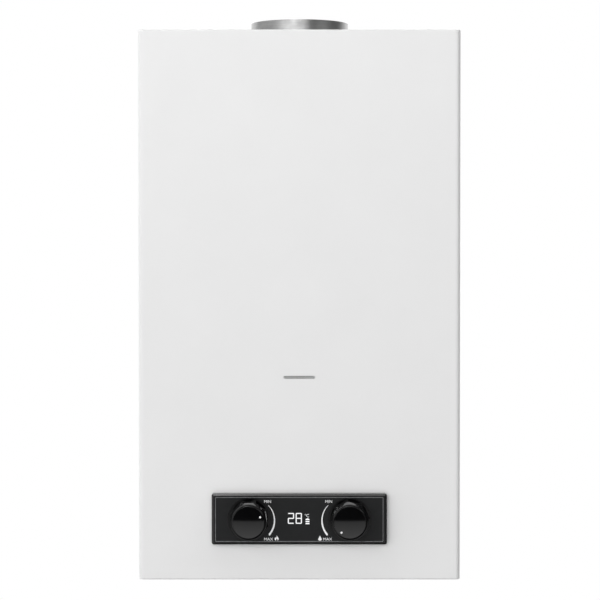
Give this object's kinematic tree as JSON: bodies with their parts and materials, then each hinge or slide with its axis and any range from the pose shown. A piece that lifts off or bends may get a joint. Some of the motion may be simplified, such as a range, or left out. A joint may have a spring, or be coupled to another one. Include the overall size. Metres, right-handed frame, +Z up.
{
  "type": "tankless gas water heater",
  "caption": "Wall-hung open-flue gas water heater: white sheet-steel case, round flue collar, viewing slot, black control panel with two knobs and pipe connections below.",
  "frame": {"origin": "midway between the two hanging holes, in the wall plane", "axes": "+Y into the wall, so the front faces -Y; +Z up; +X to the right seen from the front"},
  "size_m": [0.322, 0.1925, 0.5715],
  "materials": {
    "case_enamel": "white powder coat on folded sheet steel, soft gloss",
    "zinc_steel": "hot-dip galvanised sheet, faint spangle",
    "flue_steel": "rolled steel, fine brushed grain",
    "screw_steel": "bright zinc plate",
    "mesh_steel": "perforated steel, dull",
    "copper": "bare copper with a dull heat tint",
    "burner_steel": "stainless steel, pressed",
    "cast_aluminium": "die-cast, matt",
    "brass": "machined brass",
    "solenoid_steel": "nickel-plated can",
    "ceramic": "glazed alumina ceramic",
    "lead_rubber": "black silicone rubber",
    "controller_plastic": "black moulded plastic, fine grain",
    "battery_plastic": "black moulded plastic, fine grain",
    "cell_jacket": "plain printed-free metal jacket",
    "panel_plastic": "black ABS, satin gloss",
    "fascia_acrylic": "smoked acrylic plate, gloss",
    "circuit_board": "green solder mask",
    "knob_plastic": "black ABS, high gloss"
  },
  "bodies": {
    "heater": {"front_cover": "case_enamel", "back_plate": "zinc_steel", "draft_hood": "zinc_steel", "chamber_brackets": "zinc_steel", "burner_brackets": "zinc_steel", "pipe_bracket": "zinc_steel", "electrode_bracket": "zinc_steel", "switch_bracket": "zinc_steel", "burner_frame": "zinc_steel", "flue_collar": "flue_steel", "cover_screws": "screw_steel", "valve_screws": "screw_steel", "viewing_mesh": "mesh_steel", "combustion_chamber": "copper", "exchanger_tubes": "copper", "exchanger_fins": "copper", "cold_pipe": "copper", "hot_pipe": "copper", "burner_blades": "burner_steel", "electrode_rods": "burner_steel", "gas_manifold": "cast_aluminium", "gas_riser": "cast_aluminium", "gas_valve_body": "cast_aluminium", "water_valve_body": "brass", "water_valve_cover": "brass", "gas_jets": "brass", "gas_tail": "brass", "cold_tail": "brass", "hot_tail": "brass", "drain_plug": "brass", "gas_solenoid": "solenoid_steel", "overheat_thermostat": "solenoid_steel", "draft_thermostat": "solenoid_steel", "electrode_insulators": "ceramic", "spark_lead": "lead_rubber", "sensor_lead": "lead_rubber", "diaphragm": "lead_rubber", "controller_box": "controller_plastic", "micro_switch": "controller_plastic", "outlet_sensor": "controller_plastic", "battery_box": "battery_plastic", "battery_cells": "cell_jacket", "panel_bezel": "panel_plastic", "panel_back": "panel_plastic", "panel_fascia": "fascia_acrylic", "display_module": "circuit_board"},
    "gas_control": {"gas_knob": "knob_plastic", "gas_spindle": "brass"},
    "water_control": {"water_knob": "knob_plastic", "water_spindle": "brass"},
    "battery_flap": {"battery_door": "battery_plastic"},
    "flow_rod": {"push_rod": "brass"},
    "switch_arm": {"switch_lever": "controller_plastic"}
  },
  "joints": [
    {"name": "gas_knob_turn", "type": "hinge", "parent": "heater", "child": "gas_control", "pos_m": [-0.05, -0.17, -0.443], "axis": [0, -1, 0], "range_deg": [-75, 25]},
    {"name": "water_knob_turn", "type": "hinge", "parent": "heater", "child": "water_control", "pos_m": [0.05, -0.17, -0.443], "axis": [0, -1, 0], "range_deg": [-100, 0]},
    {"name": "battery_door_swing", "type": "hinge", "parent": "heater", "child": "battery_flap", "pos_m": [0.108, -0.0072, -0.4999], "axis": [1, 0, 0], "range_deg": [0, 90]},
    {"name": "push_rod_slide", "type": "slide", "parent": "heater", "child": "flow_rod", "axis": [-1, 0, 0], "range_m": [0, 0.004], "stiffness_N_per_m": 400},
    {"name": "switch_lever_swing", "type": "hinge", "parent": "heater", "child": "switch_arm", "pos_m": [-0.0048, -0.082, -0.4295], "axis": [0, 1, 0], "range_deg": [0, 39]}
  ],
  "couplings": [
    {"joint": "switch_lever_swing", "follows": "push_rod_slide", "rad_per_m": 166}
  ]
}
